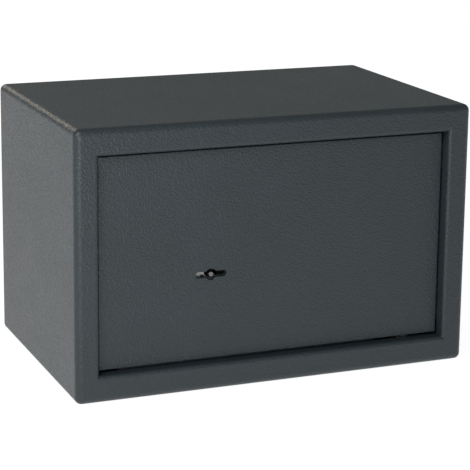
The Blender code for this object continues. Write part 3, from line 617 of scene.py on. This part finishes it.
# %% Thread a stud
STUD_PITCH = 0.8 * MM
THREAD_DEPTH = 0.42 * MM
THREAD_EARLY = 1 * MM            # the thread starts this far before the cover


def threaded_stud(node):
    """A plain rod up to the cover, then a thread up to the chamfered end, in eight rows for each turn."""
    low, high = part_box(node)
    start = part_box("lock_cover")[0].y - THREAD_EARLY
    plain = rod_profile(STUD_RADIUS, low.y, high.y, CHAMFER, steps=1)
    rows = np.arange(start, high.y - CHAMFER - 0.1 * MM, STUD_PITCH / 8)
    profile = np.concatenate([plain[:3], [(STUD_RADIUS, y) for y in rows], plain[3:]])
    carve = thread(STUD_PITCH, THREAD_DEPTH, start, high.y + STUD_PITCH / 2)
    return turned(node + "_threaded", "y", middle_of(node), profile, carve, columns=32)


print("a stud's thread is cut", round(THREAD_DEPTH / STUD_RADIUS, 2), "of its radius deep")

# %% Turn the screws and fasten everything
def carriage_screw(node):
    """A hexagon head with its shank, turned in one piece; the head is coned at both ends."""
    low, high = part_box(node)
    shank, head_low = 2.4 * MM, high.x - 3.6 * MM
    corner = max(high.y - low.y, high.z - low.z) / 2
    flat = corner * math.cos(math.pi / 6)
    guard = (0.8 * flat, high.x)
    profile = [(shank - CHAMFER, low.x), (shank, low.x + CHAMFER), (shank, head_low),
               *coned(corner, flat, head_low, high.x), guard]
    return turned(node + "_hexagon", "x", middle_of(node), profile, hexagon(2 * flat), columns=96)


def slotted_screw(node):
    """A low cheese head on a thin shank; the slot is cut across it with a flat bit."""
    low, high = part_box(node)
    centre = middle_of(node)
    radius, edge = (high.x - low.x) / 2, 0.35 * MM
    shank, tip, head_low = 1.3 * MM, 0.2 * MM, high.y - 1.6 * MM
    profile = np.concatenate([[(shank - tip, low.y), (shank, low.y + tip), (shank, head_low)],
                              rod_profile(radius, head_low, high.y, edge)])
    screw = turned(node + "_slotted", "y", centre, profile)
    half_slot, depth = 0.4 * MM, 0.6 * MM
    cut(screw, box_bit((centre.x - 2 * radius, high.y - depth, centre.z - half_slot),
                       (centre.x + 2 * radius, high.y + depth, centre.z + half_slot)))
    return screw


MAKERS = {"lock_nut": hexagon_nut, "lock_stud": threaded_stud, "bolt_screw": carriage_screw,
          "cover_screw": slotted_screw}
for start, make in MAKERS.items():
    for node in [n for n in NODES if n.startswith(start)]:
        stand_for(make(node), node)

# %% [markdown]
# ## The lock's case
#
# The case is a shallow pressed tray whose mouth faces the back and is closed by the cover. A tray is the
# same idea as the body: its wall's section, carried round a rounded rectangle. The middle of its base
# is closed by one flat face outside and one inside. Then the half keyhole, the notch that locates the
# lock, the slot for the bolt's tail and the holes for the studs are cut out.

# %% Press the lock's case
CASE_WALL = 1.6 * MM
CASE_CORNER = 3 * MM
CASE_BEND = 0.6 * MM             # the inner bend round the base
BASE_RIM = 8 * MM                # how far in the section is drawn; one flat face closes the rest
case_low, case_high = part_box("lock_case")


def pressed_tray(steps=8):
    """Section rows (inset, y): outside of the base, bend, outer wall, rim, inner wall, inside.

    The outline's first and last corner only close it, so their arcs and guard points are left off.
    """
    front, rim = case_low.y, case_high.y
    closed = rounded_outline([
        (BASE_RIM, front, EDGE), (0, front, CASE_BEND + CASE_WALL), (0, rim, EDGE), (CASE_WALL, rim, EDGE),
        (CASE_WALL, front + CASE_WALL, CASE_BEND), (BASE_RIM, front + CASE_WALL, EDGE)], steps)
    one_corner = steps + 3
    return closed[one_corner:-one_corner]


def half_keyhole():
    """The keyhole's outline from its centre: the arm's side on the right, the round middle elsewhere."""
    angle = np.linspace(-math.pi, math.pi, 240, endpoint=False)
    radius = np.where(np.cos(angle) > 0, keyhole_radius(angle, 0), KEY_ROUND)
    return np.stack([KEY_X + radius * np.cos(angle), KEY_Z + radius * np.sin(angle)], 1)


case = surface("lock_case_pressed", carried_round(pressed_tray(), case_low, case_high, CASE_CORNER),
               close_columns=True, caps=True)
print("tray before its cuts:", len(case.data.polygons), "faces")

# %% Cut the lock's case
NOTCH_X, NOTCH_Z = (-7.0 * MM, -3.8 * MM), (-3.6 * MM, -0.6 * MM)      # from the key's axis
TAIL_HALF, TAIL_PLAY, TAIL_PAST = 6.4 * MM, 0.4 * MM, 4 * MM           # the slot round the bolt's tail
STUD_HOLE = 2.8 * MM
front, behind = case_low.y - 3 * MM, case_low.y + CASE_WALL + CASE_BEND
cut(case, prism(half_keyhole(), front, behind))
cut(case, box_bit((KEY_X + NOTCH_X[0], front, KEY_Z + NOTCH_Z[0]),
                  (KEY_X + NOTCH_X[1], behind, KEY_Z + NOTCH_Z[1])))
tail_low, tail_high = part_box("lock_bolt")
cut(case, box_bit((case_low.x - TAIL_PAST, tail_low.y - TAIL_PLAY, KEY_Z - TAIL_HALF),
                  (case_low.x + TAIL_PAST, tail_high.y + TAIL_PLAY, KEY_Z + TAIL_HALF)))
for number in range(1, 5):
    spot = middle_of(f"lock_stud_{number}")
    drill(case, (spot.x, case_low.y, spot.z), (0, 1, 0), STUD_HOLE, length=2 * CASE_WALL + 1 * MM)
stand_for(case, "lock_case")
print("lock case:", len(case.data.polygons), "faces")

# %% [markdown]
# ## The felt mat
#
# A loose felt mat lies on the safe's floor. Felt is cut flat, but it never lies quite flat: it keeps a
# memory of the roll. The section from front to back is a thin rounded strip, carried along the width,
# and its upper and lower sides rise and fall together by a few tenths of a millimetre.

# %% Lay the mat
mat_low, mat_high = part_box("floor_mat")
FELT_THICK, FELT_EDGE, FELT_BACK = 1.6 * MM, 0.6 * MM, 1 * MM     # thickness, round edge, its inset
FELT_WAVE = 0.2 * MM


def felt_mat(columns=120, steps=60):
    """Rows run along x and columns round the strip; height = floor + strip height + a slow wave.

    The wave is FELT_WAVE times (1 + half a sine along x + half a sine along a slanting y).
    """
    half = FELT_THICK / 2
    depths = np.linspace(mat_low.y + FELT_BACK, mat_high.y - FELT_BACK, steps)
    turn = np.linspace(0, math.pi, 9)[1:-1]
    back = np.stack([depths[-1] + FELT_EDGE * np.sin(turn), half + half * np.cos(turn)], 1)
    front = np.stack([depths[0] - FELT_EDGE * np.sin(turn), half - half * np.cos(turn)], 1)
    strip = np.concatenate([np.stack([depths, np.full(steps, FELT_THICK)], 1), back,
                            np.stack([depths[::-1], np.zeros(steps)], 1), front])
    x = np.linspace(mat_low.x, mat_high.x, columns)[:, None]
    y = np.broadcast_to(strip[:, 0], (columns, len(strip)))
    along, slanting = np.sin(x / (19 * MM) + 1), np.sin(y / (14 * MM) + x / (60 * MM))
    wave = FELT_WAVE * (1 + 0.5 * along + 0.5 * slanting)
    return np.stack([np.broadcast_to(x, y.shape), y, mat_low.z + strip[:, 1] + wave], axis=2)


mat = surface("felt_mat", felt_mat(), close_columns=True, caps=True)
for side in (-1, 1):
    drill(mat, (side * ANCHOR_X, 0, mat_low.z), (0, 0, 1), ANCHOR_RADIUS + 2 * MM, length=10 * MM)
stand_for(mat, "floor_mat")
print("mat:", len(mat.data.polygons), "faces")

# %% [markdown]
# ## Writing shaders as sums
#
# A material is a graph of nodes, and drawing it by hand hides its arithmetic. The small class below wraps
# a node's output so that it can be added and multiplied like a number: each operation puts down a Math
# node, and the reflected forms let a number stand first, as in 0.36 + lumps.

# %% Wrap sockets
class Wire:
    """One output of a node, which can be used in sums and products."""

    def __init__(self, finish, socket):
        self.finish, self.socket = finish, socket

    def _math(self, operation, a, b):
        return self.finish.node("ShaderNodeMath", {"operation": operation}, a, b)

    def __add__(self, other):
        return self._math("ADD", self, other)

    def __mul__(self, other):
        return self._math("MULTIPLY", self, other)

    __radd__, __rmul__ = __add__, __mul__


print("a Wire's operators:", [name for name in vars(Wire) if "add" in name or "mul" in name])

# %% [markdown]
# ## A finish and its nodes
#
# A finish is one Principled shader. What is the same all over a piece is set on the shader's own sockets,
# and only what varies is linked to them. Every node comes from one method, which takes the node's type,
# its settings and what feeds it, so that a finish below reads as a short recipe. All patterns are made
# from Object coordinates, in metres, so that a pebble has the same size on every piece.

# %% Make any node
class Finish:
    """A named material: its constants are set on the shader, and node() adds what varies."""

    def __init__(self, name, colour, roughness, metallic=0.0, **constants):
        self.material = bpy.data.materials.new(name)
        self.material.use_nodes = True
        self.tree = self.material.node_tree
        self.shader = self.tree.nodes["Principled BSDF"]
        constants |= {"Base_Color": colour, "Roughness": roughness, "Metallic": metallic}
        for key, value in constants.items():
            self.set(key.replace("_", " "), value)
        self.place = self.node("ShaderNodeTexCoord", out="Object")

    def node(self, kind, settings=None, *values, out=0, **named):
        """A node of any kind: settings first, then what feeds its sockets, by order or by name."""
        made = self.tree.nodes.new(kind)
        for key, value in (settings or {}).items():
            setattr(made, key, value)
        live = [socket for socket in made.inputs if socket.enabled]
        for socket, value in zip(live, values):
            self.feed(socket, value)
        for key, value in named.items():
            self.feed(next(s for s in live if s.name == key.replace("_", " ")), value)
        outputs = [socket for socket in made.outputs if socket.enabled]
        return Wire(self, outputs[out] if isinstance(out, int) else made.outputs[out])

    def feed(self, socket, value):
        """Links a Wire to a socket, or sets the socket's own number or colour."""
        if isinstance(value, Wire):
            self.tree.links.new(value.socket, socket)
        elif socket.type == "RGBA":
            socket.default_value = (*value, 1)
        else:
            socket.default_value = value

    def noise(self, size, detail=2.0, roughness=0.5, stretch=None, distortion=0.0):
        """Noise whose lumps are about the given size in metres, from 0 to 1."""
        where = self.place
        if stretch:
            where = self.node("ShaderNodeVectorMath", {"operation": "MULTIPLY"}, where, stretch)
        return self.node("ShaderNodeTexNoise", None, where, Scale=1 / size, Detail=detail,
                         Roughness=roughness, Distortion=distortion)

    def range(self, wire, low, high):
        """Carries low to 0 and high to 1, evenly between them, and stops at the ends."""
        return self.node("ShaderNodeMapRange", None, wire, low, high)

    def blend(self, factor, first, second):
        """A colour between two, by a factor."""
        return self.node("ShaderNodeMix", {"data_type": "RGBA"}, factor, first, second)

    def bump(self, height, distance):
        """Shades the surface as if it rose by height times distance, in metres."""
        self.set("Normal", self.node("ShaderNodeBump", None, Strength=1.0, Distance=distance, Height=height))

    def set(self, name, value):
        """Feeds one of the shader's own sockets."""
        self.feed(self.shader.inputs[name], value)

    def put_on(self, piece):
        """Gives the finish to a piece, new or packed."""
        piece.data.materials.clear()
        piece.data.materials.append(self.material)


def scaled(colour, factor):
    """A colour made lighter or darker by a factor."""
    return tuple(factor * c for c in colour)


print("a half-dark grey:", scaled((0.2, 0.2, 0.2), 0.5))

# %% [markdown]
# ## Textured powder coat
#
# The paint on the body and the door is a fine-textured powder coat. As the powder melts it draws together
# into soft pebbles a little over a millimetre across. Two sizes of noise make the pebbles, and the bump
# node turns their height into shading. Glints come and go with the light, so the colour hardly varies.

# %% Mix the powder coat
PAINT = (0.0165, 0.0235, 0.0275)
FLECK = (0.11, 0.12, 0.125)      # fine pale grains in the powder


def powder_coat():
    """Height = 0.8 of the pebbles + 0.2 of the grit; the tops of the pebbles are slightly duller."""
    finish = Finish("textured_paint", PAINT, 0.4, Specular_IOR_Level=0.42)
    pebble = finish.noise(1.4 * MM, detail=1.2, roughness=0.4)
    grit = finish.noise(0.55 * MM, detail=1.5)
    cloud = finish.noise(45 * MM, detail=3.0)
    lumps = finish.range(pebble, 0.38, 0.62)
    height = lumps * 0.8 + grit * 0.2
    finish.bump(height, 0.20 * MM)
    shade = finish.range(cloud, 0.3, 0.7)
    tone = finish.blend(shade, scaled(PAINT, 0.94), scaled(PAINT, 1.05))
    fleck = finish.range(grit, 0.62, 0.74)
    finish.set("Base Color", finish.blend(fleck * 0.12, tone, FLECK))
    finish.set("Roughness", 0.36 + lumps * 0.08 + shade * 0.03)
    return finish


paint = powder_coat()
print("paint has", len(paint.tree.nodes), "nodes")

# %% [markdown]
# ## Metal finishes
#
# Zinc plate is a thin bright coat with a faint yellow and blue cloudiness, and it keeps the brush lines
# of the steel below. Turned steel shows rings across its axis, so each turning direction gets its own
# finish with the noise drawn out across that axis. The levers are rolled brass, and springs are blued.

# %% Mix the metals
def zinc_plate():
    """Colour and dullness follow a cloud 16 mm across; the brush lines are noise drawn out along z."""
    finish = Finish("zinc_plate", (0.31, 0.32, 0.32), 0.40, 1.0)
    cloud = finish.range(finish.noise(16 * MM, detail=3.0), 0.35, 0.65)
    brushed = finish.noise(0.35 * MM, detail=2.0, stretch=(1, 1, 0.06))
    finish.set("Base Color", finish.blend(cloud, (0.28, 0.295, 0.305), (0.345, 0.34, 0.31)))
    finish.set("Roughness", 0.34 + cloud * 0.09 + brushed * 0.10)
    finish.bump(brushed, 0.012 * MM)
    return finish


def turned_steel(axis, tone):
    """The noise is drawn out 40 times across the axis, so it shows as fine rings round the piece."""
    finish = Finish(f"bright_steel_{axis}", tone, 0.28, 1.0)
    stretch = tuple(1.0 if name == axis else 1 / 40 for name in "xyz")
    rings = finish.noise(0.30 * MM, detail=2.0, stretch=stretch)
    smear = finish.range(finish.noise(6 * MM, detail=3.0), 0.3, 0.7)
    finish.set("Base Color", finish.blend(smear, scaled(tone, 0.9), scaled(tone, 1.1)))
    finish.set("Roughness", 0.20 + rings * 0.14 + smear * 0.07)
    finish.bump(rings, 0.010 * MM)
    return finish


def rolled_brass():
    """Tarnish darkens and dulls in patches; the rolling marks are noise drawn out along x."""
    finish = Finish("brass", (0.66, 0.47, 0.21), 0.3, 1.0)
    tarnish = finish.range(finish.noise(8 * MM, detail=4.0), 0.35, 0.7)
    rolled = finish.noise(0.3 * MM, detail=2.0, stretch=(0.05, 1, 1))
    finish.set("Base Color", finish.blend(tarnish, (0.70, 0.51, 0.24), (0.52, 0.35, 0.15)))
    finish.set("Roughness", 0.24 + tarnish * 0.14 + rolled * 0.08)
    finish.bump(rolled, 0.008 * MM)
    return finish


def blued_spring():
    """The temper's blue turns to straw and grey in patches 7 mm across."""
    finish = Finish("spring_steel", (0.12, 0.13, 0.19), 0.32, 1.0)
    temper = finish.range(finish.noise(7 * MM, detail=2.0), 0.3, 0.7)
    finish.set("Base Color", finish.blend(temper, (0.09, 0.11, 0.20), (0.19, 0.16, 0.17)))
    finish.set("Roughness", 0.26 + temper * 0.12)
    return finish


zinc, brass, blued = zinc_plate(), rolled_brass(), blued_spring()
BRIGHT = (0.36, 0.36, 0.37)
RECESS_SHADED = (0.17, 0.17, 0.175)      # the barrel and the posts are turned along y; this dark tone is painted shade for the recess behind the keyhole
steel = {"x": turned_steel("x", BRIGHT), "y": turned_steel("y", RECESS_SHADED), "z": turned_steel("z", BRIGHT)}
print("metals:", [f.material.name for f in (zinc, brass, blued, *steel.values())])

# %% [markdown]
# ## Nylon and felt
#
# The washer is natural nylon, slightly milky, with a moulded skin. Felt is a mat of fibres lying in every
# direction: bent noise gives the tangle, a second noise gives tufts, and a sheen stands for the fine
# hairs that catch light at a grazing angle.

# %% Mix nylon and felt
def natural_nylon():
    """A fine moulded skin varies the colour and the dullness together."""
    finish = Finish("nylon", (0.74, 0.73, 0.68), 0.45, Subsurface_Weight=0.15, Subsurface_Scale=1 * MM)
    skin = finish.noise(0.4 * MM, detail=2.0)
    finish.set("Base Color", finish.blend(skin, (0.70, 0.69, 0.64), (0.78, 0.77, 0.72)))
    finish.set("Roughness", 0.38 + skin * 0.16)
    return finish


def needled_felt():
    """Pile = 0.7 of the fibres + 0.3 of the tufts, and it gives both the colour and the height."""
    finish = Finish("felt", (0.035, 0.035, 0.038), 0.95, Sheen_Weight=0.04, Sheen_Roughness=0.5)
    tangle = finish.noise(0.9 * MM, detail=4.0, roughness=0.65, distortion=2.5)
    fibre = finish.range(tangle, 0.42, 0.68)
    pile = fibre * 0.7 + finish.noise(4 * MM, detail=3.0) * 0.3
    finish.set("Base Color", finish.blend(pile, (0.018, 0.018, 0.020), (0.075, 0.075, 0.080)))
    finish.set("Roughness", 0.88 + fibre * 0.1)
    finish.bump(pile, 0.5 * MM)
    return finish


nylon, felt = natural_nylon(), needled_felt()
print("felt has", len(felt.tree.nodes), "nodes")

# %% [markdown]
# ## Every piece gets its finish
#
# The record says which finish each packed node has. A piece that stands for a node keeps that name in
# its slot, so one loop dresses the new pieces and the packed ones alike. Turned steel is sorted by the
# axis that it was turned on.

# %% Dress the pieces
FINISH_OF = {"textured_paint": paint, "zinc_plate": zinc, "brass": brass, "spring_steel": blued,
             "nylon": nylon, "felt": felt}
TURNED_ON = {"round_bolt": "x", "hinge_pin": "z"}
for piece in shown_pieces():
    name = SLOT_OF.get(piece.name) or piece["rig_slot"]
    if name == "bright_steel":
        axis = next((a for start, a in TURNED_ON.items() if piece.name.startswith(start)), "y")
        steel[axis].put_on(piece)
    else:
        FINISH_OF[name].put_on(piece)

# %% [markdown]
# ## Floor and light
#
# Small painted goods are often lit on a light table: the floor itself glows evenly, so it stays white
# and fills the shadows from below. Dark paint then shows what it mirrors, and at a grazing angle it
# mirrors a lot, which is why the left wall looks so much paler than the door. Where the safe stands it
# covers the table, so the glow stops under its walls. A soft key light stands high at the left, a warm
# one behind draws the edge of the top, and a narrow one near the camera puts glints in the pebbles.

# %% Set the floor and the sky
GLOW = (0.985, 0.995, 1)
SKY = (0.96, 1.0, 0.98)


def under_safe(finish, axis, half):
    """1 under the safe and 0 beyond it along one axis: |place| fades from 15 to 5 mm inside the wall."""
    place = finish.node("ShaderNodeSeparateXYZ", None, finish.place, out=axis)
    away = finish.node("ShaderNodeMath", {"operation": "ABSOLUTE"}, place)
    return finish.range(away, half - 5 * MM, half - 15 * MM)


def stage_floor(half=8.0):
    """A flat square grid a hair under the safe; its glow is a colour blended to black under the safe."""
    side = np.linspace(-half, half, 3)
    x, y = np.meshgrid(side, side)
    floor = surface("floor", np.stack([x, y, np.full_like(x, cad_low.z - 0.2 * MM)], 2))
    if floor.data.polygons[0].normal.z < 0:
        floor.data.flip_normals()
    finish = Finish("pale_floor", (0.3, 0.3, 0.3), 0.9, Specular_IOR_Level=0.1, Emission_Strength=0.92)
    covered = under_safe(finish, "X", cad_high.x) * under_safe(finish, "Y", cad_high.y)
    finish.set("Emission Color", finish.blend(covered, GLOW, (0, 0, 0)))
    finish.put_on(floor)
    return floor


def surround(to_camera, to_object):
    """An even sky: white where the camera sees it, dimmer as a light."""
    world = bpy.data.worlds.new("surround")
    bpy.context.scene.world = world
    world.use_nodes = True
    tree = world.node_tree
    path = tree.nodes.new("ShaderNodeLightPath")
    level = tree.nodes.new("ShaderNodeMapRange")
    level.inputs["To Min"].default_value = to_object
    level.inputs["To Max"].default_value = to_camera
    tree.links.new(path.outputs["Is Camera Ray"], level.inputs["Value"])
    tree.links.new(level.outputs["Result"], tree.nodes["Background"].inputs["Strength"])
    tree.nodes["Background"].inputs["Color"].default_value = (*SKY, 1)


floor = stage_floor()
surround(to_camera=1.12, to_object=0.31)
print("floor at", round(floor.data.vertices[0].co.z / MM, 2), "mm")

# %% Hang the lights
def panel_light(name, azimuth, elevation, distance, size, watts, colour=(1, 1, 1)):
    """A flat light aimed at the safe's middle, placed by azimuth and elevation in degrees and by distance."""
    around, up = math.radians(azimuth), math.radians(elevation)
    back = Vector((math.sin(around) * math.cos(up), -math.cos(around) * math.cos(up), math.sin(up)))
    data = bpy.data.lights.new(name, "AREA")
    data.shape = "RECTANGLE"
    data.size, data.size_y = size
    data.energy = watts
    data.color = colour
    light = bpy.data.objects.new(name, data)
    middle = (cad_low + cad_high) / 2
    light.matrix_world = (Matrix.Translation(middle + back * distance)
                          @ back.to_track_quat("Z", "Y").to_matrix().to_4x4())
    light.visible_camera = False
    bpy.context.scene.collection.objects.link(light)
    return light


panel_light("key_panel", azimuth=-46, elevation=32, distance=0.9, size=(0.30, 0.30), watts=4.3)
panel_light("glint_panel", azimuth=-27, elevation=3, distance=0.6, size=(0.05, 0.18), watts=0.7)
panel_light("rear_panel", azimuth=-166, elevation=24, distance=1.6, size=(0.5, 0.3), watts=2.5,
            colour=(1.0, 0.90, 0.78))
bpy.context.scene.view_settings.view_transform = "Standard"

# %% [markdown]
